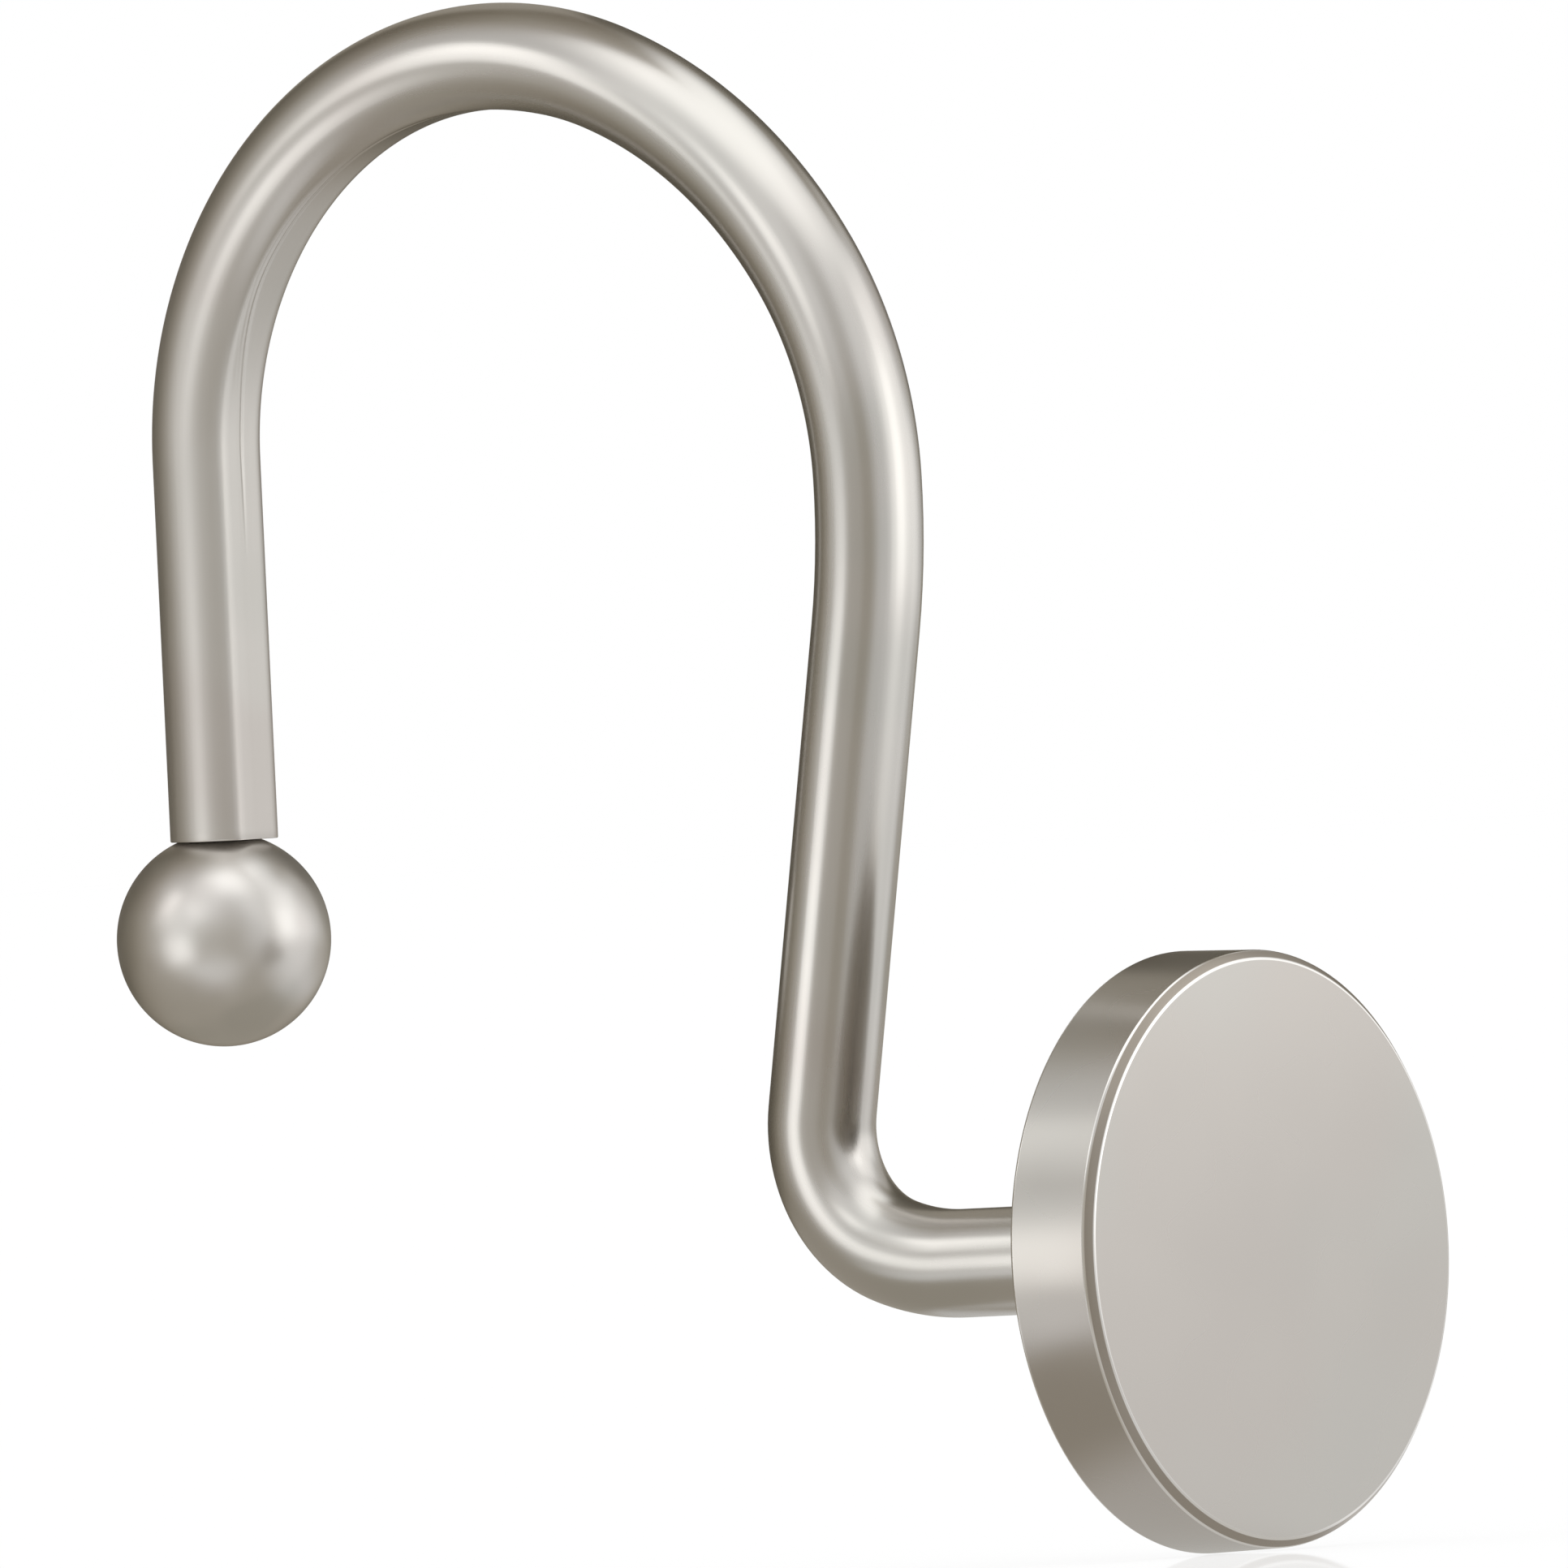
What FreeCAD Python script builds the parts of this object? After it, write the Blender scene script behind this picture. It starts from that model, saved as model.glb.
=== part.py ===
# Curtain hook made of three pieces. A bent rod hangs over a curtain rod, a ball is welded to its
# free end, and a round cast disc is fixed on its front stub, which carries the curtain's eyelet.
# Millimetres and degrees, +Z up, +X towards the disc, the rod's bends all in the plane Y = 0.
# The origin is the centre of the arch, where the axis of the curtain rod lies.

import FreeCAD, Part
import math
import os

# Rod: a wire of one diameter, bent in one plane
rod_diameter = 4.55

# Front leg, which drops from the arch to the ball and leans a little outwards
front_leg_length = 16.1
front_leg_lean = 0.7

# Arch over the curtain rod, then the three wider bends that bring the rod down behind it
arch_radius = 16.4
arch_angle = 110.7
shoulder_radius = 21.1
shoulder_angle = 36.0
waist_radius = 17.2
waist_angle = 32.0
easing_radius = 33.0
easing_angle = 11.1

# Back leg, elbow and the level stub that ends in the disc
back_leg_length = 20.4
elbow_radius = 5.4
elbow_angle = 81.0
lead_out_radius = 10.8
stub_length = 12.05

# Flat that the bending former pressed into the inside of the front leg and the arch. It is deepest
# on the leg, shallower over the crown, where the curtain rod sits, and runs out at the arch's end.
leg_flat_depth = 0.36
crown_flat_depth = 0.07
former_width = 8.0
former_overrun = 1.0

# Ball on the free end, squashed flat where it is welded and a little off the leg's axis
ball_diameter = 9.06
weld_flat_depth = 0.35
ball_offset = 0.27

# Disc: a cast body with draft, a bevel round its flat face, and a blind socket behind
disc_diameter = 25.0
disc_depth = 4.15
disc_draft = 1.5
front_bevel_depth = 0.35
front_bevel_width = 0.37
front_edge_break = 0.05
back_edge_break = 0.2
socket_depth = 2.4
socket_clearance = 0.03
rod_end_chamfer = 0.25

# Sizes that follow from the ones above
rod_radius = rod_diameter / 2.0
ball_radius = ball_diameter / 2.0
disc_radius = disc_diameter / 2.0
leg_heading = 90.0 - front_leg_lean
former_radius = arch_radius - rod_radius + crown_flat_depth
ALONG_Y = FreeCAD.Vector(0.0, 1.0, 0.0)


def direction(heading):
    """Unit vector in the plane of the hook, heading degrees up from +X."""
    angle = math.radians(heading)
    return FreeCAD.Vector(math.cos(angle), 0.0, math.sin(angle))


class BendPath:
    """Chain of tangent lines and arcs in the plane of the hook."""

    def __init__(self, start, heading):
        self.point = start
        self.heading = heading
        self.edges = []

    def straight(self, length):
        end = self.point + direction(self.heading) * length
        self.edges.append(Part.LineSegment(self.point, end).toShape())
        self.point = end

    def bend(self, radius, turn):
        """Turn clockwise by turn degrees, or the other way where turn is negative."""
        side = math.copysign(90.0, turn)
        centre = self.point + direction(self.heading - side) * radius
        middle = centre - direction(self.heading - side - turn / 2.0) * radius
        end = centre - direction(self.heading - side - turn) * radius
        self.edges.append(Part.Arc(self.point, middle, end).toShape())
        self.point = end
        self.heading = self.heading - turn

    def wire(self):
        return Part.Wire(self.edges)


def arch_start():
    """Point on the rod's centreline where the front leg runs into the arch."""
    return direction(leg_heading + 90.0) * arch_radius


def leg_end():
    """Centre of the front leg's cut end."""
    return arch_start() - direction(leg_heading) * front_leg_length


def rod_path():
    """Centreline of the rod, from the cut end of the front leg to the disc's back face."""
    path = BendPath(leg_end(), leg_heading)
    path.straight(front_leg_length)
    path.bend(arch_radius, arch_angle)
    path.bend(shoulder_radius, shoulder_angle)
    path.bend(waist_radius, waist_angle)
    path.bend(easing_radius, easing_angle)
    path.straight(back_leg_length)
    path.bend(elbow_radius, -elbow_angle)
    path.bend(lead_out_radius, path.heading)
    path.straight(stub_length)
    return path


def bending_former():
    """Round-topped former with a straight side along the front leg, set a little towards that leg."""
    up_leg = direction(leg_heading)
    to_leg = direction(leg_heading + 90.0)
    centre = to_leg * (leg_flat_depth - crown_flat_depth) - ALONG_Y * (former_width / 2.0)
    leg_side = centre + to_leg * former_radius
    crown = centre + up_leg * former_radius
    far_side = centre - to_leg * former_radius
    foot = leg_side - up_leg * (front_leg_length + former_overrun)
    outline = Part.Wire([
        Part.Arc(leg_side, crown, far_side).toShape(),
        Part.LineSegment(far_side, foot).toShape(),
        Part.LineSegment(foot, leg_side).toShape(),
    ])
    return Part.Face(outline).extrude(ALONG_Y * former_width)


def hook_rod():
    """Bent rod with its pressed flat, cut square at the ball and chamfered where it sits in the disc."""
    path = rod_path()
    path.straight(socket_depth)
    circle = Part.makeCircle(rod_radius, leg_end(), direction(leg_heading))
    rod = path.wire().makePipeShell([Part.Wire(circle)], True, False)
    seat_end = max(rod.Edges, key=lambda edge: edge.BoundBox.XMin)
    rod = rod.makeChamfer(rod_end_chamfer, [seat_end])
    return rod.cut(bending_former())


def end_ball():
    """Ball with a small flat on top, seated on the cut end of the front leg."""
    flat_height = ball_radius - weld_flat_depth
    flat_radius = math.sqrt(ball_radius ** 2 - flat_height ** 2)
    bottom = FreeCAD.Vector(0.0, 0.0, -ball_radius)
    widest = FreeCAD.Vector(ball_radius, 0.0, 0.0)
    rim = FreeCAD.Vector(flat_radius, 0.0, flat_height)
    top = FreeCAD.Vector(0.0, 0.0, flat_height)
    outline = Part.Wire([
        Part.Arc(bottom, widest, rim).toShape(),
        Part.LineSegment(rim, top).toShape(),
        Part.LineSegment(top, bottom).toShape(),
    ])
    ball = Part.Face(outline).revolve(FreeCAD.Vector(), FreeCAD.Vector(0.0, 0.0, 1.0), 360.0)
    ball.translate(FreeCAD.Vector(-ball_offset, 0.0, -flat_height))
    ball.rotate(FreeCAD.Vector(), ALONG_Y, front_leg_lean)
    ball.translate(leg_end())
    return ball


def front_disc():
    """Cast disc with a bevelled front edge and the rod's socket in its back."""
    side_length = disc_depth - front_bevel_depth
    back_radius = disc_radius + side_length * math.tan(math.radians(disc_draft))
    face_radius = disc_radius - front_bevel_width
    socket_radius = rod_radius + socket_clearance
    profile = Part.Face(broken_outline([
        (socket_depth, 0.0, 0.0),
        (socket_depth, socket_radius, 0.0),
        (0.0, socket_radius, 0.0),
        (0.0, back_radius, back_edge_break),
        (side_length, disc_radius, front_edge_break),
        (disc_depth, face_radius, front_edge_break),
        (disc_depth, 0.0, 0.0),
    ]))
    disc = profile.revolve(FreeCAD.Vector(), FreeCAD.Vector(1.0, 0.0, 0.0), 360.0)
    disc.translate(rod_path().point)
    return disc


def broken_outline(outline):
    """Closed outline in the plane Y = 0, from (along, out, size of the corner's break) of each corner."""
    corners = [FreeCAD.Vector(along, 0.0, out) for along, out, size in outline]
    points = []
    for index, (along, out, size) in enumerate(outline):
        corner = corners[index]
        if size > 0.0:
            for neighbour in (corners[index - 1], corners[index + 1]):
                points.append(corner + (neighbour - corner).normalize() * size)
        else:
            points.append(corner)
    return Part.makePolygon(points + points[:1])


PIECES = {
    "hook_rod": hook_rod,
    "end_ball": end_ball,
    "front_disc": front_disc,
}

os.makedirs("parts", exist_ok=True)
for name, make in PIECES.items():
    make().exportStep("parts/" + name + ".step")
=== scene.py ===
"""Curtain hook in satin nickel: a bent rod, a ball welded to its free end and a cast front disc.

model.glb holds the pieces at their real size. This file dresses them and sets up the studio.
Metres and radians, +Z up, +X towards the disc, the rod's bends all in the plane Y = 0.
The origin is the centre of the arch, where the axis of the curtain rod lies.
"""

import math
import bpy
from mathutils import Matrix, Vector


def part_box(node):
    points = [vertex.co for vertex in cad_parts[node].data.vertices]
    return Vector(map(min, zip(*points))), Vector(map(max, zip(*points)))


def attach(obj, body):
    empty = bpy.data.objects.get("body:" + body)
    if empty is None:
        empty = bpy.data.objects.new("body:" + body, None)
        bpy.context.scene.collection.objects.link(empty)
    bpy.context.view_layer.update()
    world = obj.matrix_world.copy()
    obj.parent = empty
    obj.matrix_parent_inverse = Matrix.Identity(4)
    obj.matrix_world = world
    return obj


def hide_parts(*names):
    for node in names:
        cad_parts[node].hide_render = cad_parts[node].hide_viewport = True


bl_info = {
    "name": "Curtain Hook",
    "version": (1, 0, 0),
    "blender": (4, 5, 0),
    "location": "View3D > Sidebar > Curtain Hook",
    "description": "Satin nickel curtain hook with a welded ball and a round front disc",
    "category": "Object",
}

import bmesh
import bpy
from mathutils import Matrix, Vector

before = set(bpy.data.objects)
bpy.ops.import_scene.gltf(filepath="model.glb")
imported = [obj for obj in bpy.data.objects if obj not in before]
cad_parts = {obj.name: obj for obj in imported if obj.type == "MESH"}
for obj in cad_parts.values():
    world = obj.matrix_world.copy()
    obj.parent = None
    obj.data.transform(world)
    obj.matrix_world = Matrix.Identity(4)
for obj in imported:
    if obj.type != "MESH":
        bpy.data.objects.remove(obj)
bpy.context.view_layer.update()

BODY = "root"
MM = 0.001
WIRE_PLACE = "wire_place"
# Vertex mark of edge roundings that are worn smooth and carry a painted highlight
RUBBED_AND_HIGHLIGHT = "rubbed_and_painted"
# Vertex mark of the disc's bevel, which gets a painted dark reflection
PAINTED_DARK_BEVEL = "turned"
WHITE = (1.0, 1.0, 1.0, 1.0)

# Step down from the disc to the tent's edge, and from there to the floor
FLOOR_GAP = 0.01 * MM

# How far the bent rod's end may miss the middle of the disc's socket
SEAT_TOLERANCE = 0.02 * MM

ROD_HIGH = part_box("hook_rod")[1]
BALL_LOW, BALL_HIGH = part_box("end_ball")
DISC_LOW, DISC_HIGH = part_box("front_disc")
DISC_MIDDLE = (DISC_LOW + DISC_HIGH) / 2.0
HOOK_BOTTOM = DISC_LOW.z


def length(label, about, default):
    """A size in metres that a user may change."""
    return bpy.props.FloatProperty(
        name=label, description=about, default=default, unit="LENGTH", precision=5
    )


def angle(label, about, degrees):
    """An angle that a user may change."""
    return bpy.props.FloatProperty(
        name=label, description=about, default=math.radians(degrees), subtype="ANGLE"
    )


def factor(label, about, default):
    """A share from nothing to all that a user may change."""
    return bpy.props.FloatProperty(
        name=label, description=about, default=default, min=0.0, max=1.0, subtype="FACTOR"
    )


def colour(label, about, default):
    """A colour that a user may change."""
    return bpy.props.FloatVectorProperty(
        name=label, description=about, default=default, size=3, min=0.0, max=1.0, subtype="COLOR"
    )


class RodSettings(bpy.types.PropertyGroup):
    """Sizes of the bent rod."""

    diameter: length("Diameter", "Thickness of the wire", 4.55 * MM)
    leg_length: length("Front leg", "Straight run from the ball to the arch", 16.1 * MM)
    leg_lean: angle("Leg lean", "Lean of the front leg away from the back leg", 0.7)
    arch_radius: length("Arch radius", "Centreline radius over the curtain rod", 16.4 * MM)
    arch_angle: angle("Arch", "Turn of the arch", 110.7)
    shoulder_radius: length("Shoulder radius", "First wider bend behind the arch", 21.1 * MM)
    shoulder_angle: angle("Shoulder", "Turn of the shoulder", 36.0)
    waist_radius: length("Waist radius", "Second bend behind the arch", 17.2 * MM)
    waist_angle: angle("Waist", "Turn of the waist", 32.0)
    easing_radius: length("Easing radius", "Gentle bend into the back leg", 33.0 * MM)
    easing_angle: angle("Easing", "Turn of the easing", 11.1)
    back_leg_length: length("Back leg", "Straight run down to the elbow", 20.4 * MM)
    elbow_radius: length("Elbow radius", "Tight bend towards the disc", 5.4 * MM)
    elbow_angle: angle("Elbow", "Turn of the elbow", 81.0)
    lead_out_radius: length("Lead-out radius", "Wide end of the elbow, which levels out", 10.8 * MM)
    stub_length: length("Stub", "Level run from the elbow to the disc's back", 12.05 * MM)
    socket_depth: length("Socket depth", "How far the rod reaches into the disc", 2.4 * MM)
    leg_flat_depth: length("Leg flat", "How deep the former pressed into the leg", 0.36 * MM)
    crown_flat_depth: length("Crown flat", "How deep it pressed under the crown", 0.07 * MM)
    crease_depth: length("Crease", "Depth of the crease along the pressed flat", 0.045 * MM)
    crease_width: length("Crease width", "Half width of that crease", 0.08 * MM)
    end_break: length("End break", "Rounding of the cut end", 0.06 * MM)


class BallSettings(bpy.types.PropertyGroup):
    """Sizes of the welded ball."""

    flat_depth: length("Weld flat", "How far the ball is squashed at the weld", 0.35 * MM)
    offset: length("Offset", "How far the ball sits off the leg's axis", 0.27 * MM)


class DiscSettings(bpy.types.PropertyGroup):
    """Sizes of the cast disc."""

    diameter: length("Diameter", "Across the front edge of its side", 25.0 * MM)
    draft: angle("Draft", "Taper of the side towards the front", 1.5)
    bevel_depth: length("Bevel depth", "Bevel round the face, along the axis", 0.35 * MM)
    bevel_width: length("Bevel width", "Bevel round the face, across it", 0.37 * MM)
    front_round: length("Front rounding", "Rounding of both edges of the bevel", 0.08 * MM)
    back_round: length("Back rounding", "Rounding of the back edge", 0.2 * MM)
    socket_clearance: length("Socket clearance", "Room round the rod in its socket", 0.03 * MM)


class FinishSettings(bpy.types.PropertyGroup):
    """Colours and gloss of the nickel."""

    rod_colour: colour("Rod", "Satin nickel of the drawn wire", (0.617, 0.594, 0.560))
    ball_colour: colour("Ball", "Lighter satin nickel of the tumbled ball", (0.70, 0.677, 0.645))
    disc_colour: colour("Disc", "Satin nickel of the disc", (0.563, 0.530, 0.494))
    warm_colour: colour("Warm patch", "Nickel where it looks a little pink", (0.575, 0.530, 0.500))
    cool_colour: colour("Cool patch", "Nickel where it looks a little green", (0.555, 0.550, 0.515))
    # Painted highlight: this bright colour on the edge roundings stands in for their white highlight
    # lines; their lower roughness is real polish
    painted_highlight_colour: colour("Rubbed edge", "Nickel on edges that are rubbed bright", (0.82, 0.80, 0.77))
    # Painted dark reflection: the bevel is painted darker to stand in for the dark surroundings it
    # reflects
    painted_dark_bevel_colour: colour("Turned bevel", "Darker nickel of the disc's bevel", (0.38, 0.34, 0.29))
    rod_roughness: factor("Rod roughness", "Gloss of the drawn wire", 0.26)
    leg_roughness: factor("Leg roughness", "Gloss of the front leg, which was brushed more", 0.42)
    ball_roughness: factor("Ball roughness", "Gloss of the tumbled ball", 0.36)
    disc_roughness: factor("Disc roughness", "Gloss of the plated casting", 0.28)
    rubbed_roughness: factor("Rubbed roughness", "Gloss of the rubbed edges", 0.16)


class StageSettings(bpy.types.PropertyGroup):
    """Camera, floor and light tent."""

    target: bpy.props.FloatVectorProperty(
        name="Target",
        description="Point in the middle of the picture",
        default=(11.578 * MM, 2.388 * MM, -14.789 * MM),
        subtype="TRANSLATION",
    )
    azimuth: angle("Azimuth", "Camera's turn from the front of the bends towards the disc", 37.86)
    elevation: angle("Elevation", "Camera's height above the level", 0.286)
    roll: angle("Roll", "Camera's tilt about its view", -3.247)
    picture_width: length("Picture width", "Width of what the picture shows", 65.82 * MM)
    camera_distance: length("Camera distance", "Far away, so that nothing looks foreshortened", 3.0)
    floor_size: length("Floor size", "Side of the square floor", 8.0)
    floor_colour: colour("Floor", "White glossy board under the hook", (0.98, 0.98, 0.98))
    floor_gloss: factor("Floor gloss", "Share that the floor mirrors at a glancing view", 0.36)
    tent_radius: length("Tent radius", "Radius of the light tent round the hook", 115.0 * MM)
    tent_warm: colour("Tent shade", "Tint of the tent's cloth away from its lamps", (1.0, 0.88, 0.67))


def new_object(context, name, shape, material):
    """An object of this shape and material, which stands at the origin with its place in its mesh."""
    data = bpy.data.meshes.new(name)
    shape.to_mesh(data)
    shape.free()
    data.materials.append(material)
    made = bpy.data.objects.new(name, data)
    context.scene.collection.objects.link(made)
    return made


def new_piece(context, name, shape, node, material):
    """A piece of the hook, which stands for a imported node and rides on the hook's body."""
    bmesh.ops.recalc_face_normals(shape, faces=shape.faces)
    piece = new_object(context, name, shape, material)
    even = piece.modifiers.new("Even shading", "WEIGHTED_NORMAL")
    even.keep_sharp = True
    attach(piece, BODY)
    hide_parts(node)
    return piece


def direction(heading):
    """Unit vector in the plane of the bends, heading up from +X."""
    return Vector((math.cos(heading), 0.0, math.sin(heading)))


class WireBender:
    """Feeds a round wire out of its first ring and bends it in the plane Y = 0.

    Each point keeps the place it had on the straight wire: inwards, across and along.
    """

    def __init__(self, shape, start, heading, radius):
        self.shape = shape
        self.point = start
        self.heading = heading
        self.along = 0.0
        self.place = shape.verts.layers.float_vector.new(WIRE_PLACE)
        facets, flat_cuts, flat_reach = 96, 4, math.radians(42.0)
        bmesh.ops.create_circle(shape, segments=facets, radius=radius)
        inner_edges = [
            edge for edge in shape.edges
            if all(v.co.x > 0.0 and abs(v.co.y) < radius * math.sin(flat_reach) for v in edge.verts)
        ]
        bmesh.ops.subdivide_edges(shape, edges=inner_edges, cuts=flat_cuts)
        for vert in shape.verts:
            vert.co *= radius / vert.co.length
            vert[self.place] = vert.co.copy()
        inwards, forwards = direction(heading - math.pi / 2.0), direction(heading)
        axes = Matrix((inwards, Vector((0.0, 1.0, 0.0)), forwards)).transposed()
        bmesh.ops.transform(shape, matrix=Matrix.Translation(start) @ axes.to_4x4(), verts=shape.verts)
        self.first = list(shape.edges)
        self.ring = self.first

    def advance(self, grown, step):
        """Take the ring just grown, a step further along the wire, and return its points."""
        verts = [part for part in grown if isinstance(part, bmesh.types.BMVert)]
        fresh = set(verts)
        edges = [part for part in grown if isinstance(part, bmesh.types.BMEdge)]
        self.ring = [edge for edge in edges if fresh.issuperset(edge.verts)]
        self.along += step
        for vert in verts:
            inwards, across, _ = vert[self.place]
            vert[self.place] = (inwards, across, self.along)
        return verts

    def straight(self, run, longest=0.8 * MM):
        """Feed the wire straight on."""
        steps = max(1, round(run / longest))
        step = run / steps
        for _ in range(steps):
            grown = bmesh.ops.extrude_edge_only(self.shape, edges=self.ring)["geom"]
            verts = self.advance(grown, step)
            bmesh.ops.translate(self.shape, vec=direction(self.heading) * step, verts=verts)
        self.point = self.point + direction(self.heading) * run

    def bend(self, radius, turn, finest=math.radians(1.5)):
        """Turn clockwise, seen with the disc on the right, or the other way where turn is negative."""
        side = math.copysign(math.pi / 2.0, turn)
        centre = self.point + direction(self.heading - side) * radius
        steps = max(1, round(abs(turn) / finest))
        for _ in range(steps):
            verts = list({vert for edge in self.ring for vert in edge.verts})
            grown = bmesh.ops.spin(
                self.shape,
                geom=verts + self.ring,
                cent=centre,
                axis=(0.0, 1.0, 0.0),
                angle=turn / steps,
                steps=1,
            )["geom_last"]
            self.advance(grown, radius * abs(turn) / steps)
        self.heading -= turn
        self.point = centre + direction(self.heading + side) * radius


def rod_start(rod):
    """Centre of the front leg's cut end, and the way the wire leaves it."""
    heading = math.pi / 2.0 - rod.leg_lean
    arch_start = direction(heading + math.pi / 2.0) * rod.arch_radius
    return arch_start - direction(heading) * rod.leg_length, heading


class HOOK_OT_rod(bpy.types.Operator):
    """Bend the rod, press its seat flat and break its cut end"""

    bl_idname = "hook.rod"
    bl_label = "Bent rod"

    def execute(self, context):
        rod = context.scene.hook_rod
        shape = bmesh.new()
        shape.verts.layers.float.new(RUBBED_AND_HIGHLIGHT)
        start, heading = rod_start(rod)
        wire = WireBender(shape, start, heading, rod.diameter / 2.0)
        wire.straight(rod.leg_length, longest=0.4 * MM)
        wire.bend(rod.arch_radius, rod.arch_angle)
        wire.bend(rod.shoulder_radius, rod.shoulder_angle)
        wire.bend(rod.waist_radius, rod.waist_angle)
        wire.bend(rod.easing_radius, rod.easing_angle)
        wire.straight(rod.back_leg_length)
        wire.bend(rod.elbow_radius, -rod.elbow_angle, finest=math.radians(3.0))
        wire.bend(rod.lead_out_radius, wire.heading)
        wire.straight(rod.stub_length + rod.socket_depth)
        if (wire.point - Vector((ROD_HIGH.x, 0.0, DISC_MIDDLE.z))).length > SEAT_TOLERANCE:
            raise RuntimeError("The rod's end misses its seat in the disc")
        press_flat(shape, rod)
        for ring in (wire.first, wire.ring):
            bmesh.ops.contextual_create(shape, geom=ring)
        broken = bmesh.ops.bevel(
            shape,
            geom=wire.first + wire.ring,
            offset=rod.end_break,
            affect="EDGES",
            segments=3,
            profile=0.5,
            material=-1,
        )
        # The cut end's rounding is worn smooth and gets a painted highlight line
        mark_rubbed_and_painted(shape, broken)
        for face in shape.faces:
            face.smooth = True
        finish = drawn_nickel(context)
        new_piece(context, "bent_rod", shape, "hook_rod", finish)
        return {"FINISHED"}


def mark_rubbed_and_painted(shape, rounding):
    """Mark the middle of a fresh rounding as worn smooth and painted bright, a painted highlight."""
    rubbed_and_painted = shape.verts.layers.float[RUBBED_AND_HIGHLIGHT]
    fresh = set(rounding["faces"])
    for vert in rounding["verts"]:
        if fresh.issuperset(vert.link_faces):
            vert[rubbed_and_painted] = 1.0


def press_flat(shape, rod):
    """Press the inside of the leg and the arch flat against the former, and crease the flat.

    The former has a round top and a straight side along the leg, and stands a little towards it.
    """
    # Share of the flat's depth over which it runs softly into the round wire, and share of its depth
    # under the crown over which the crease sets in
    run_in, crease_onset = 0.55, 0.3
    place = shape.verts.layers.float_vector[WIRE_PLACE]
    _, heading = rod_start(rod)
    up_leg, to_leg = direction(heading), direction(heading + math.pi / 2.0)
    centre = to_leg * (rod.leg_flat_depth - rod.crown_flat_depth)
    former = rod.arch_radius - rod.diameter / 2.0 + rod.crown_flat_depth
    arch_end = rod.leg_length + rod.arch_radius * rod.arch_angle
    for vert in shape.verts:
        inwards, across, along = vert[place]
        if inwards <= 0.0 or along > arch_end:
            continue
        turn = max(0.0, (along - rod.leg_length) / rod.arch_radius)
        out = Vector((vert.co.x, 0.0, vert.co.z)) - centre
        outwards = to_leg if out.dot(up_leg) < 0.0 else out.normalized()
        away = out.dot(outwards)
        depth = rod.crown_flat_depth + (rod.leg_flat_depth - rod.crown_flat_depth) * math.cos(turn)
        pressed = smooth_max(away, former, max(depth, 0.0) * run_in)
        inside = min(1.0, max(0.0, (former - away) / (crease_onset * rod.crown_flat_depth)))
        pressed += inside * crease(rod, across, along)
        vert.co += outwards * (pressed - away)


def smooth_max(first, second, blend):
    """The larger of two lengths, rounded off where they are within the blend of each other."""
    near = max(blend - abs(first - second), 0.0)
    return max(first, second) + (near * near / (4.0 * blend) if blend > 0.0 else 0.0)


def crease(rod, across, along):
    """Depth of the crease and the fine wrinkles beside it, which fade out on the leg and the crown.

    They come, go and wander sideways between these places, in degrees round the arch from the leg.
    """
    crease_comes, crease_goes = (-16.0, 4.0), (62.0, 96.0)
    wrinkles_come, wrinkles_go = (8.0, 24.0), (45.0, 65.0)
    wanders_out, wanders_back = (4.0, 34.0), (34.0, 90.0)
    turn = math.degrees((along - rod.leg_length) / rod.arch_radius)
    aside = 0.77 * MM * eased(turn, *wanders_out) - 0.27 * MM * eased(turn, *wanders_back)
    creased = eased(turn, *crease_comes) * (1.0 - eased(turn, *crease_goes))
    wrinkled = eased(turn, *wrinkles_come) * (1.0 - eased(turn, *wrinkles_go))
    depth = 0.0
    for offset, share, width in (
        (0.0, creased, 1.0),
        (0.26 * MM, 0.5 * wrinkled, 1.2),
        (0.50 * MM, 0.35 * wrinkled, 1.5),
    ):
        gap = (across + aside + offset) / (rod.crease_width * width)
        depth += rod.crease_depth * share * math.exp(-gap * gap)
    return depth


def eased(value, low, high):
    """Nought below the low value and one above the high one, with an even rise between them."""
    share = min(1.0, max(0.0, (value - low) / (high - low)))
    return share * share * (3.0 - 2.0 * share)


class HOOK_OT_ball(bpy.types.Operator):
    """Squash the ball flat at its weld and seat it on the cut end of the rod"""

    bl_idname = "hook.ball"
    bl_label = "Welded ball"

    def execute(self, context):
        rod, ball = context.scene.hook_rod, context.scene.hook_ball
        radius = (BALL_HIGH.y - BALL_LOW.y) / 2.0
        seat, _ = rod_start(rod)
        flat_height = radius - ball.flat_depth
        shape = bmesh.new()
        bmesh.ops.create_icosphere(shape, subdivisions=6, radius=radius)
        cut = bmesh.ops.bisect_plane(
            shape,
            geom=shape.verts[:] + shape.edges[:] + shape.faces[:],
            plane_co=(0.0, 0.0, flat_height),
            plane_no=(0.0, 0.0, 1.0),
            clear_outer=True,
        )["geom_cut"]
        rim = [part for part in cut if isinstance(part, bmesh.types.BMEdge)]
        for face in shape.faces:
            face.smooth = True
        bmesh.ops.contextual_create(shape, geom=rim)
        lean = Matrix.Rotation(rod.leg_lean, 4, "Y")
        drop = Matrix.Translation((-ball.offset, 0.0, -flat_height))
        bmesh.ops.transform(shape, matrix=Matrix.Translation(seat) @ lean @ drop, verts=shape.verts)
        finish = tumbled_nickel(context)
        new_piece(context, "welded_ball", shape, "end_ball", finish)
        return {"FINISHED"}


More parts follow.
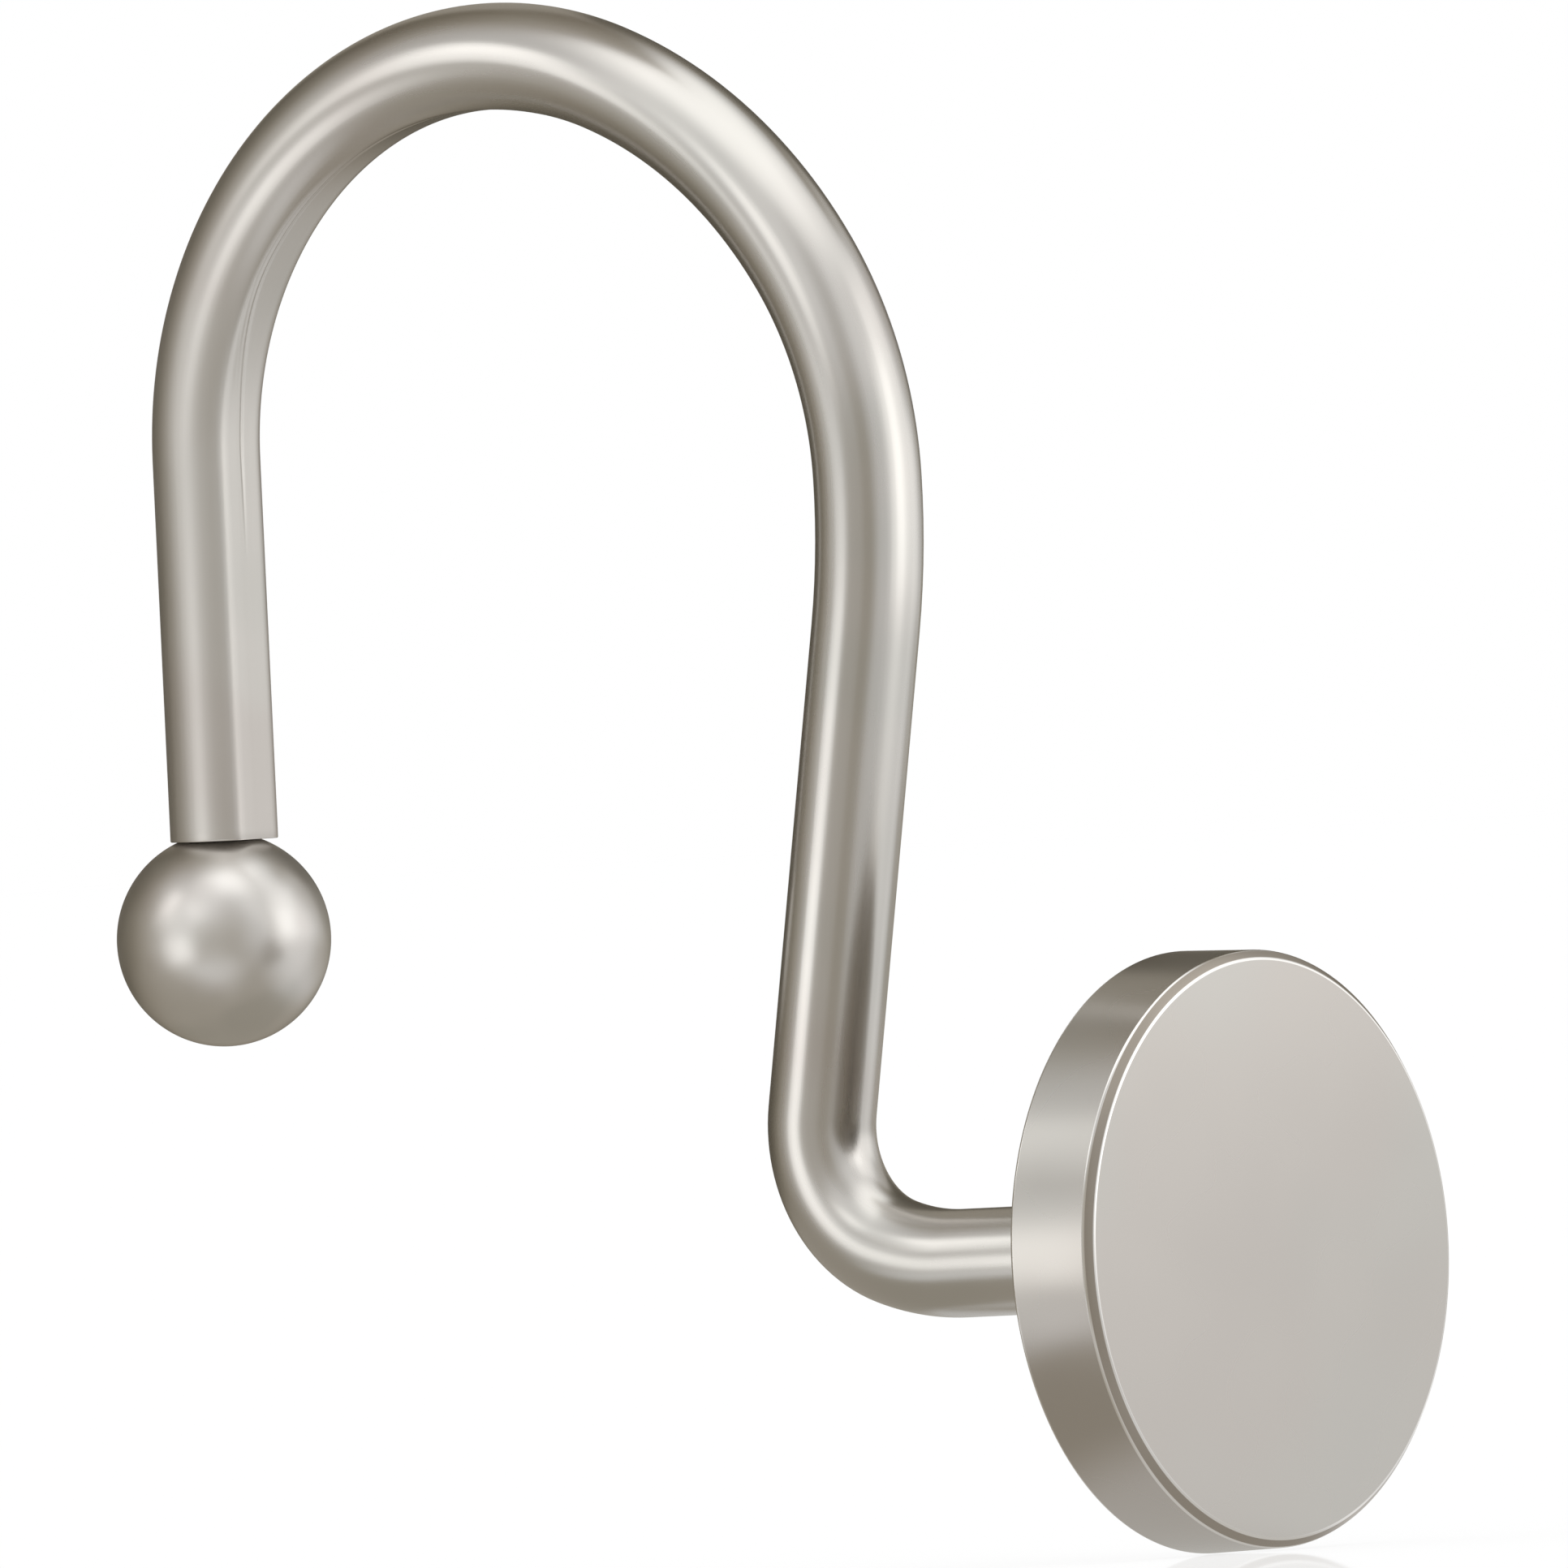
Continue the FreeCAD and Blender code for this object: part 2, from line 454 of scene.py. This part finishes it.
class HOOK_OT_disc(bpy.types.Operator):
    """Spin the cast disc about its axis, with its bevelled face in front and its socket behind"""

    bl_idname = "hook.disc"
    bl_label = "Cast disc"

    def execute(self, context):
        rod, disc = context.scene.hook_rod, context.scene.hook_disc
        depth = DISC_HIGH.x - DISC_LOW.x
        radius = disc.diameter / 2.0
        side_length = depth - disc.bevel_depth
        back_radius = radius + side_length * math.tan(disc.draft)
        face_radius = radius - disc.bevel_width
        socket_radius = rod.diameter / 2.0 + disc.socket_clearance
        centre = Vector((DISC_LOW.x, DISC_MIDDLE.y, DISC_MIDDLE.z))
        outline = (
            (rod.socket_depth, 0.0),
            (rod.socket_depth, socket_radius),
            (0.0, socket_radius),
            (0.0, back_radius),
            (side_length, radius),
            (depth, face_radius),
            (depth, 0.0),
        )
        facets, touching = 192, 1e-7
        shape = bmesh.new()
        for layer in (RUBBED_AND_HIGHLIGHT, PAINTED_DARK_BEVEL):
            shape.verts.layers.float.new(layer)
        corners = [shape.verts.new(centre + Vector((along, 0.0, out))) for along, out in outline]
        sides = [shape.edges.new(pair) for pair in zip(corners, corners[1:])]
        bmesh.ops.spin(
            shape,
            geom=corners + sides,
            cent=centre,
            axis=(1.0, 0.0, 0.0),
            angle=math.tau,
            steps=facets,
            use_merge=True,
        )
        bmesh.ops.remove_doubles(shape, verts=shape.verts, dist=touching)
        for size, along, out in (
            (disc.back_round, 0.0, back_radius),
            (disc.front_round, side_length, radius),
            (disc.front_round, depth, face_radius),
        ):
            round_edge(shape, size, centre, along, out)
        # The bevel's flat is marked for its painted dark reflection
        mark_bevel_painted_dark(shape, math.cos(math.atan2(disc.bevel_depth, disc.bevel_width)))
        for face in shape.faces:
            face.smooth = True
        finish = cast_nickel(context)
        new_piece(context, "cast_disc", shape, "front_disc", finish)
        return {"FINISHED"}


def round_edge(shape, size, centre, along, out):
    """Round the ring of edges that lies this far along the disc's axis and out from it."""
    near = 1e-6

    def on_ring(vert):
        place = vert.co - centre
        return abs(place.x - along) < near and abs(math.hypot(place.y, place.z) - out) < near

    ring = [edge for edge in shape.edges if all(on_ring(vert) for vert in edge.verts)]
    rounding = bmesh.ops.bevel(
        shape, geom=ring, offset=size, affect="EDGES", segments=6, profile=0.5, material=-1
    )
    # The rounding's middle is worn smooth and gets a painted highlight line
    mark_rubbed_and_painted(shape, rounding)


def mark_bevel_painted_dark(shape, forwards):
    """Mark the flat of the bevel, whose faces look this much forwards, to be painted darker as a
    painted dark reflection.
    """
    # turned here holds the mark of the painted dark reflection
    turned = shape.verts.layers.float[PAINTED_DARK_BEVEL]
    near = 0.02
    shape.normal_update()
    for face in shape.faces:
        if abs(abs(face.normal.x) - forwards) < near:
            for vert in face.verts:
                vert[turned] = 1.0


def add(tree, kind, settings=None, **inputs):
    """A node of this kind, with its settings, and its inputs set or linked by their names."""
    node = tree.nodes.new(kind)
    for name, value in (settings or {}).items():
        setattr(node, name, value)
    for name, value in inputs.items():
        feed(tree, node.inputs[name.replace("_", " ")], value)
    return node


def feed(tree, socket, value):
    """Link the socket to an output, or set its value."""
    if isinstance(value, bpy.types.NodeSocket):
        tree.links.new(value, socket)
    else:
        socket.default_value = value


def maths(tree, operation, *values):
    """Output of a maths node on these values or outputs."""
    node = add(tree, "ShaderNodeMath", {"operation": operation})
    for socket, value in zip(node.inputs, values):
        feed(tree, socket, value)
    return node.outputs["Value"]


def vector_maths(tree, operation, *values):
    """Vector output of a vector maths node on these values or outputs."""
    node = add(tree, "ShaderNodeVectorMath", {"operation": operation})
    for socket, value in zip(node.inputs, values):
        feed(tree, socket, value)
    return node.outputs["Vector"]


def mapped(tree, value, low, high, to_low=0.0, to_high=1.0, smooth=False):
    """The value moved from one range to another and kept inside it."""
    node = add(
        tree,
        "ShaderNodeMapRange",
        {"interpolation_type": "SMOOTHSTEP" if smooth else "LINEAR"},
        Value=value,
        From_Min=low,
        From_Max=high,
        To_Min=to_low,
        To_Max=to_high,
    )
    return node.outputs["Result"]


def blended(tree, share, first, second):
    """The first value, moved towards the second by this share."""
    mix = add(tree, "ShaderNodeMix", {"data_type": "FLOAT"})
    for place, value in ((0, share), (2, first), (3, second)):
        feed(tree, mix.inputs[place], value)
    return mix.outputs[0]


def tinted(tree, share, first, second):
    """The first colour, moved towards the second by this share."""
    mix = add(tree, "ShaderNodeMix", {"data_type": "RGBA"})
    for place, value in ((0, share), (6, first), (7, second)):
        feed(tree, mix.inputs[place], value)
    return mix.outputs[2]


def noise(tree, place, scale, detail, roughness=0.5):
    """Noise between nought and one at this place."""
    node = add(
        tree,
        "ShaderNodeTexNoise",
        Vector=place,
        Scale=scale,
        Detail=detail,
        Roughness=roughness,
    )
    return node.outputs["Fac"]


def new_group(name, inputs, outputs):
    """An empty shader group with its named sockets, its input node and its output node."""
    group = bpy.data.node_groups.new(name, "ShaderNodeTree")
    for label, kind in inputs:
        group.interface.new_socket(name=label, in_out="INPUT", socket_type="NodeSocket" + kind)
    for label, kind in outputs:
        group.interface.new_socket(name=label, in_out="OUTPUT", socket_type="NodeSocket" + kind)
    return group, add(group, "NodeGroupInput"), add(group, "NodeGroupOutput")


def use(tree, group, **inputs):
    """The group placed in a node tree, with its inputs set or linked."""
    return add(tree, "ShaderNodeGroup", {"node_tree": group}, **inputs)


def grain_group():
    """Fine lines that run along the third axis of the place, or specks where stretch is one."""
    group, given, result = new_group(
        "Nickel grain",
        [("Place", "Vector"), ("Lines", "Float"), ("Stretch", "Float")],
        [("Fine", "Float"), ("Broad", "Float")],
    )
    broad_share, fine_detail, broad_detail = 0.3, 2.0, 1.0
    squeeze = add(group, "ShaderNodeCombineXYZ", X=1.0, Y=1.0, Z=given.outputs["Stretch"])
    place = vector_maths(group, "MULTIPLY", given.outputs["Place"], squeeze.outputs["Vector"])
    coarse = maths(group, "MULTIPLY", given.outputs["Lines"], broad_share)
    feed(group, result.inputs["Fine"], noise(group, place, given.outputs["Lines"], fine_detail))
    feed(group, result.inputs["Broad"], noise(group, place, coarse, broad_detail))
    return group


def tone_group():
    """Plating that drifts between a warm and a cool tone and is hazier in places."""
    group, given, result = new_group(
        "Plating tone",
        [
            ("Place", "Vector"),
            ("Patches", "Float"),
            ("Nickel", "Color"),
            ("Warm", "Color"),
            ("Cool", "Color"),
            ("Amount", "Float"),
        ],
        [("Color", "Color"), ("Haze", "Float")],
    )
    drift_detail, haze_detail = 1.5, 3.0
    elsewhere = (3.1, 1.7, 5.3)
    warm_range, cool_range = (0.52, 0.68), (0.48, 0.32)
    drift = noise(group, given.outputs["Place"], given.outputs["Patches"], drift_detail)
    aside = vector_maths(group, "ADD", given.outputs["Place"], elsewhere)
    haze = noise(group, aside, given.outputs["Patches"], haze_detail)
    warm = mapped(group, drift, *warm_range, smooth=True)
    cool = mapped(group, drift, *cool_range, smooth=True)
    tone = given.outputs["Nickel"]
    for share, other in ((warm, "Warm"), (cool, "Cool")):
        amount = maths(group, "MULTIPLY", share, given.outputs["Amount"])
        tone = tinted(group, amount, tone, given.outputs[other])
    feed(group, result.inputs["Color"], tone)
    feed(group, result.inputs["Haze"], haze)
    return group


def wear_and_painted_light_group():
    """Edges worn smooth with a painted highlight, and a bevel painted darker as a painted dark
    reflection.
    """
    group, given, result = new_group(
        "Rubbed and turned",
        [
            ("Nickel", "Color"),
            ("Roughness", "Float"),
            ("Rubbed", "Float"),
            ("Turned", "Float"),
            ("Bright", "Color"),
            ("Smooth", "Float"),
            ("Dark", "Color"),
        ],
        [("Color", "Color"), ("Roughness", "Float")],
    )
    parts = given.outputs
    # turned is the bevel's painted dark reflection, then the worn-smooth edges get their painted
    # highlight
    turned = tinted(group, parts["Turned"], parts["Nickel"], parts["Dark"])
    feed(group, result.inputs["Color"], tinted(group, parts["Rubbed"], turned, parts["Bright"]))
    smooth = blended(group, parts["Rubbed"], parts["Roughness"], parts["Smooth"])
    feed(group, result.inputs["Roughness"], smooth)
    return group


def shared(maker, name):
    """The shader group of this name, made on first use."""
    return bpy.data.node_groups.get(name) or maker()


def with_alpha(colour_value):
    """The colour as a shader's socket takes it."""
    return (*colour_value, 1.0)


def nickel(context, name, place_of, base, gloss_of, lines, stretch, patches, tone_amount, relief=0.0):
    """Satin nickel plating: metal with fine grain, drifting tone, uneven gloss, edges worn smooth with
    a painted highlight, and a painted dark reflection on a bevel.
    """
    unevenness = (-0.025, 0.025)
    noise_range = (0.3, 0.7)
    finish = context.scene.hook_finish
    material = bpy.data.materials.new(name)
    material.use_nodes = True
    tree = material.node_tree
    shader = tree.nodes["Principled BSDF"]
    place = place_of(tree)
    grain = use(tree, shared(grain_group, "Nickel grain"), Place=place, Lines=lines, Stretch=stretch)
    tone = use(
        tree,
        shared(tone_group, "Plating tone"),
        Place=object_place(tree),
        Patches=patches,
        Nickel=with_alpha(base),
        Warm=with_alpha(finish.warm_colour),
        Cool=with_alpha(finish.cool_colour),
        Amount=tone_amount,
    )
    haze = mapped(tree, tone.outputs["Haze"], *noise_range, *unevenness)
    streak = mapped(tree, grain.outputs["Broad"], *noise_range, *unevenness)
    uneven = maths(tree, "ADD", haze, streak)
    # Edges worn smooth with a painted highlight, and the disc's bevel with a painted dark reflection
    wear_and_painted_light = use(
        tree,
        shared(wear_and_painted_light_group, "Rubbed and turned"),
        Nickel=tone.outputs["Color"],
        Roughness=maths(tree, "ADD", uneven, gloss_of(tree)),
        Rubbed=mark(tree, RUBBED_AND_HIGHLIGHT),
        Turned=mark(tree, PAINTED_DARK_BEVEL),
        Bright=with_alpha(finish.painted_highlight_colour),
        Smooth=finish.rubbed_roughness,
        Dark=with_alpha(finish.painted_dark_bevel_colour),
    )
    shader.inputs["Metallic"].default_value = 1.0
    feed(tree, shader.inputs["Base Color"], wear_and_painted_light.outputs["Color"])
    feed(tree, shader.inputs["Roughness"], wear_and_painted_light.outputs["Roughness"])
    if relief > 0.0:
        bump = add(tree, "ShaderNodeBump", Strength=1.0, Distance=relief, Height=grain.outputs["Fine"])
        feed(tree, shader.inputs["Normal"], bump.outputs["Normal"])
    return material


def mark(tree, name):
    """Share of a marked layer at each point, nought on a piece that hasn't any: worn-smooth edges with
    a painted highlight, or a bevel with a painted dark reflection.
    """
    return add(tree, "ShaderNodeAttribute", {"attribute_name": name}).outputs["Fac"]


def wire_place(tree):
    """Place on the straight wire, so that the grain follows the bends."""
    return add(tree, "ShaderNodeAttribute", {"attribute_name": WIRE_PLACE}).outputs["Vector"]


def object_place(tree):
    """Place on the finished piece."""
    return add(tree, "ShaderNodeTexCoord").outputs["Object"]


def drawn_nickel(context):
    """Finish of the rod: fine lines along the wire, and a front leg that was brushed duller."""
    finish, rod = context.scene.hook_finish, context.scene.hook_rod
    crown = rod.leg_length + rod.arch_radius * math.pi / 2.0

    def brushed(tree):
        along = add(tree, "ShaderNodeSeparateXYZ", Vector=wire_place(tree)).outputs["Z"]
        return mapped(
            tree, along, rod.leg_length, crown, finish.leg_roughness, finish.rod_roughness, smooth=True
        )

    return nickel(
        context, "Drawn nickel", wire_place, finish.rod_colour, brushed,
        lines=5200.0, stretch=0.010, patches=120.0, tone_amount=0.4, relief=2.0e-6,
    )


def tumbled_nickel(context):
    """Finish of the ball, tumbled and a little mottled."""
    finish = context.scene.hook_finish

    def tumbled(_):
        return finish.ball_roughness

    return nickel(
        context, "Tumbled nickel", object_place, finish.ball_colour, tumbled,
        lines=2600.0, stretch=1.0, patches=260.0, tone_amount=0.4, relief=0.5e-6,
    )


def cast_nickel(context):
    """Finish of the disc, smooth under its plating."""
    finish = context.scene.hook_finish

    def plated(_):
        return finish.disc_roughness

    return nickel(
        context, "Cast nickel", object_place, finish.disc_colour, plated,
        lines=600.0, stretch=1.0, patches=55.0, tone_amount=0.5,
    )


class HOOK_OT_stage(bpy.types.Operator):
    """Lay the floor, put up the light tent and set the camera"""

    bl_idname = "hook.stage"
    bl_label = "Floor, light tent and camera"

    def execute(self, context):
        stage = context.scene.hook_stage
        context.scene.view_settings.view_transform = "Standard"
        white_world(context)
        lay_floor(context, stage)
        put_up_tent(context, stage)
        set_camera(context, stage)
        return {"FINISHED"}


def white_world(context):
    """White surroundings, at which white paper shows as white."""
    world = bpy.data.worlds.new("White studio")
    world.use_nodes = True
    background = world.node_tree.nodes["Background"]
    background.inputs["Color"].default_value = WHITE
    background.inputs["Strength"].default_value = 1.0
    world.cycles.sampling_method = "NONE"
    context.scene.world = world


def stage_piece(context, name, shape, material):
    """A piece of the studio, which isn't part of the hook."""
    piece = new_object(context, name, shape, material)
    return piece


def stage_material(name):
    """A material whose node tree is still empty."""
    material = bpy.data.materials.new(name)
    material.use_nodes = True
    material.node_tree.nodes.clear()
    return material


def show_front_only(tree, front):
    """End the node tree with this shader on the faces' front, and nothing at all on their back."""
    gone = add(tree, "ShaderNodeBsdfTransparent")
    behind = add(tree, "ShaderNodeNewGeometry").outputs["Backfacing"]
    output = add(tree, "ShaderNodeOutputMaterial")
    whole = mix_shaders(tree, behind, front, gone)
    tree.links.new(whole.outputs["Shader"], output.inputs["Surface"])


def lay_floor(context, stage):
    """White glossy board just under the disc's lowest point.

    Seen by the camera or in a reflection it is mostly its own white, so that it stays white with a
    soft shadow, and it mirrors the hook faintly at a glancing view. From below it isn't there.
    """
    glow_share, mirror_roughness, falloff = 0.85, 0.03, 4.0
    material = stage_material("White board")
    tree = material.node_tree
    rays = add(tree, "ShaderNodeLightPath").outputs
    seen = maths(tree, "ADD", rays["Is Camera Ray"], rays["Is Glossy Ray"])
    seen = maths(tree, "ADD", seen, rays["Is Transmission Ray"])
    seen = maths(tree, "MINIMUM", seen, 1.0)
    glow_level = (1.0 - (1.0 - glow_share) * stage.floor_colour[0]) / glow_share
    glow = add(tree, "ShaderNodeEmission", Color=WHITE, Strength=glow_level)
    paper = add(tree, "ShaderNodeBsdfDiffuse", Color=with_alpha(stage.floor_colour))
    lit = mix_shaders(tree, maths(tree, "MULTIPLY", seen, glow_share), paper, glow)
    mirror = add(tree, "ShaderNodeBsdfGlossy", Color=WHITE, Roughness=mirror_roughness)
    facing = add(tree, "ShaderNodeLayerWeight", Blend=0.5).outputs["Facing"]
    glancing = maths(tree, "MULTIPLY", maths(tree, "POWER", facing, falloff), stage.floor_gloss)
    show_front_only(tree, mix_shaders(tree, glancing, lit, mirror))

    shape = bmesh.new()
    bmesh.ops.create_grid(shape, x_segments=1, y_segments=1, size=stage.floor_size / 2.0)
    bmesh.ops.translate(shape, vec=(0.0, 0.0, HOOK_BOTTOM - 2.0 * FLOOR_GAP), verts=shape.verts)
    stage_piece(context, "floor", shape, material)


def mix_shaders(tree, share, first, second):
    """A mix of two shader nodes, with this share of the second."""
    mix = add(tree, "ShaderNodeMixShader")
    feed(tree, mix.inputs[0], share)
    for place, node in ((1, first), (2, second)):
        tree.links.new(node.outputs[0], mix.inputs[place])
    return mix


def glow_group():
    """Glow of a lamp on the tent's cloth: a soft-edged box of azimuth and elevation."""
    group, given, result = new_group(
        "Lamp glow",
        [
            ("Azimuth", "Float"),
            ("Elevation", "Float"),
            ("Left", "Float"),
            ("Right", "Float"),
            ("Bottom", "Float"),
            ("Top", "Float"),
            ("Softness", "Float"),
            ("Level", "Float"),
        ],
        [("Glow", "Float")],
    )
    parts = given.outputs
    shares = []
    for turn, low, high in (("Azimuth", "Left", "Right"), ("Elevation", "Bottom", "Top")):
        before = maths(group, "SUBTRACT", parts[low], parts["Softness"])
        after = maths(group, "ADD", parts[high], parts["Softness"])
        shares.append(mapped(group, parts[turn], before, parts[low], smooth=True))
        shares.append(mapped(group, parts[turn], after, parts[high], smooth=True))
    glow = parts["Level"]
    for share in shares:
        glow = maths(group, "MULTIPLY", glow, share)
    feed(group, result.inputs["Glow"], glow)
    return group


# Lamps behind the tent's cloth and a shade on it, as seen from the tent's middle: left, right, bottom
# and top edge in degrees right of the camera and up, then how many degrees the edge takes to fade
# and how bright the lamp is
LAMP_GLOWS = {
    "Over the hook": (-65.0, 145.0, 75.0, 100.0, 30.0, 1.1),
    "High in front": (-55.0, 50.0, 30.0, 55.0, 20.0, 0.4),
    "Right wall": (70.0, 100.0, -60.0, 50.0, 20.0, 0.45),
    "Right wall, upper half": (65.0, 140.0, 0.0, 40.0, 10.0, 0.4),
    "Behind on the right": (110.0, 120.0, -55.0, 10.0, 10.0, 0.4),
    "Front right": (50.0, 75.0, -5.0, 25.0, 10.0, 0.45),
    "Left wall, low": (-70.0, -55.0, -15.0, -5.0, 10.0, 1.2),
    "Left wall, middle": (-68.0, -50.0, 0.0, 8.0, 8.0, 0.4),
    "Left wall, high": (-85.0, -75.0, 15.0, 35.0, 5.0, 1.3),
    "High in front on the left": (-52.0, -42.0, 20.0, 30.0, 8.0, 0.65),
    "High on the left": (-100.0, -60.0, 35.0, 45.0, 20.0, 0.2),
    "Low on the left": (-65.0, -25.0, -45.0, -35.0, 15.0, 0.5),
    "Shade by the camera": (-5.0, 5.0, -20.0, 40.0, 20.0, -0.3),
    "Low behind": (135.0, 160.0, -80.0, -10.0, 25.0, 0.3),
    "Low in front": (-10.0, 55.0, -35.0, 10.0, 15.0, 0.2),
    "Ground on the right": (30.0, 60.0, -80.0, -45.0, 15.0, 0.2),
    "Behind on the left": (-180.0, -160.0, 20.0, 50.0, 12.0, 0.25),
}


def put_up_tent(context, stage):
    """Cloth tent round the hook, which only the metal sees, with the lamps glowing through it.

    Away from its lamps the cloth is dim behind the hook and brighter towards the camera, and low
    down it shows the lit ground.
    """
    ground_level, dim_level, open_level = 0.40, 0.11, 0.53
    dim_until, open_from = -0.88, 0.30
    horizon, ground_from = -8.0, -36.0
    warm_level, neutral_level = 0.10, 0.80
    material = stage_material("Tent cloth")
    tree = material.node_tree
    centre = Vector(stage.target)
    place = add(tree, "ShaderNodeTexCoord").outputs["Object"]
    outwards = vector_maths(tree, "NORMALIZE", vector_maths(tree, "SUBTRACT", place, tuple(centre)))
    turned = add(
        tree,
        "ShaderNodeVectorRotate",
        {"rotation_type": "Z_AXIS"},
        Vector=outwards,
        Angle=-stage.azimuth,
    )
    split = add(tree, "ShaderNodeSeparateXYZ", Vector=turned.outputs["Vector"]).outputs
    front = maths(tree, "MULTIPLY", split["Y"], -1.0)
    azimuth = maths(tree, "DEGREES", maths(tree, "ARCTAN2", split["X"], front))
    elevation = maths(tree, "DEGREES", maths(tree, "ARCSINE", split["Z"]))
    wall = mapped(tree, front, dim_until, open_from, dim_level, open_level, smooth=True)
    low = mapped(tree, elevation, horizon, ground_from, smooth=True)
    level = blended(tree, low, wall, ground_level)
    for lamp, settings in LAMP_GLOWS.items():
        glow = use(tree, shared(glow_group, "Lamp glow"), Azimuth=azimuth, Elevation=elevation)
        glow.label = lamp
        for socket, value in zip(list(glow.inputs)[2:], settings):
            feed(tree, socket, value)
        level = maths(tree, "ADD", level, glow.outputs["Glow"])
    rays = add(tree, "ShaderNodeLightPath").outputs
    through_floor = maths(tree, "GREATER_THAN", rays["Transparent Depth"], 0.5)
    level = blended(tree, through_floor, level, 1.0)
    neutral = mapped(tree, level, warm_level, neutral_level, smooth=True)
    tint = tinted(tree, neutral, with_alpha(stage.tent_warm), WHITE)
    show_front_only(tree, add(tree, "ShaderNodeEmission", Color=tint, Strength=level))
    material.cycles.emission_sampling = "NONE"

    shape = bmesh.new()
    bmesh.ops.create_icosphere(shape, subdivisions=5, radius=stage.tent_radius)
    bmesh.ops.translate(shape, vec=centre, verts=shape.verts)
    for vert in shape.verts:
        vert.co.z = max(vert.co.z, HOOK_BOTTOM - FLOOR_GAP)
    bmesh.ops.reverse_faces(shape, faces=shape.faces)
    tent = stage_piece(context, "light_tent", shape, material)
    tent.visible_camera = False
    tent.visible_diffuse = False
    tent.visible_shadow = False


def set_camera(context, stage):
    """Camera far off at the photograph's viewing angle, with a long lens."""
    turn, rise = stage.azimuth, stage.elevation
    back = Vector((math.sin(turn) * math.cos(rise), -math.cos(turn) * math.cos(rise), math.sin(rise)))
    level_right = Vector((math.cos(turn), math.sin(turn), 0.0))
    level_up = back.cross(level_right)
    right = level_right * math.cos(stage.roll) + level_up * math.sin(stage.roll)
    up = level_up * math.cos(stage.roll) - level_right * math.sin(stage.roll)
    lens = bpy.data.cameras.new("camera")
    lens.lens = lens.sensor_width * stage.camera_distance / stage.picture_width
    clip_factor = 10.0
    lens.clip_start = stage.camera_distance / clip_factor
    lens.clip_end = stage.camera_distance * clip_factor
    camera = bpy.data.objects.new("camera", lens)
    axes = Matrix((right, up, back)).transposed().to_4x4()
    place = Vector(stage.target) + back * stage.camera_distance
    camera.matrix_world = Matrix.Translation(place) @ axes
    context.scene.collection.objects.link(camera)
    context.scene.camera = camera


class HOOK_PT_panel(bpy.types.Panel):
    """Sizes, finishes and steps of the curtain hook"""

    bl_idname = "HOOK_PT_panel"
    bl_label = "Curtain Hook"
    bl_space_type = "VIEW_3D"
    bl_region_type = "UI"
    bl_category = "Curtain Hook"

    def draw(self, context):
        for operator, name in STEPS:
            box = self.layout.box()
            box.operator(operator.bl_idname)
            settings = getattr(context.scene, name)
            for field in settings.__annotations__:
                box.prop(settings, field)
        finish = self.layout.box()
        for field in FinishSettings.__annotations__:
            finish.prop(context.scene.hook_finish, field)


SETTINGS = {
    "hook_rod": RodSettings,
    "hook_ball": BallSettings,
    "hook_disc": DiscSettings,
    "hook_finish": FinishSettings,
    "hook_stage": StageSettings,
}
STEPS = (
    (HOOK_OT_rod, "hook_rod"),
    (HOOK_OT_ball, "hook_ball"),
    (HOOK_OT_disc, "hook_disc"),
    (HOOK_OT_stage, "hook_stage"),
)


def register():
    for name, settings in SETTINGS.items():
        bpy.utils.register_class(settings)
        setattr(bpy.types.Scene, name, bpy.props.PointerProperty(type=settings))
    for operator, _ in STEPS:
        bpy.utils.register_class(operator)
    bpy.utils.register_class(HOOK_PT_panel)


def unregister():
    bpy.utils.unregister_class(HOOK_PT_panel)
    for operator, _ in reversed(STEPS):
        bpy.utils.unregister_class(operator)
    for name, settings in reversed(SETTINGS.items()):
        delattr(bpy.types.Scene, name)
        bpy.utils.unregister_class(settings)


def main():
    """Dress the hook and set up its studio."""
    register()
    bpy.ops.hook.rod()
    bpy.ops.hook.ball()
    bpy.ops.hook.disc()
    bpy.ops.hook.stage()


if __name__ == "__main__":
    main()
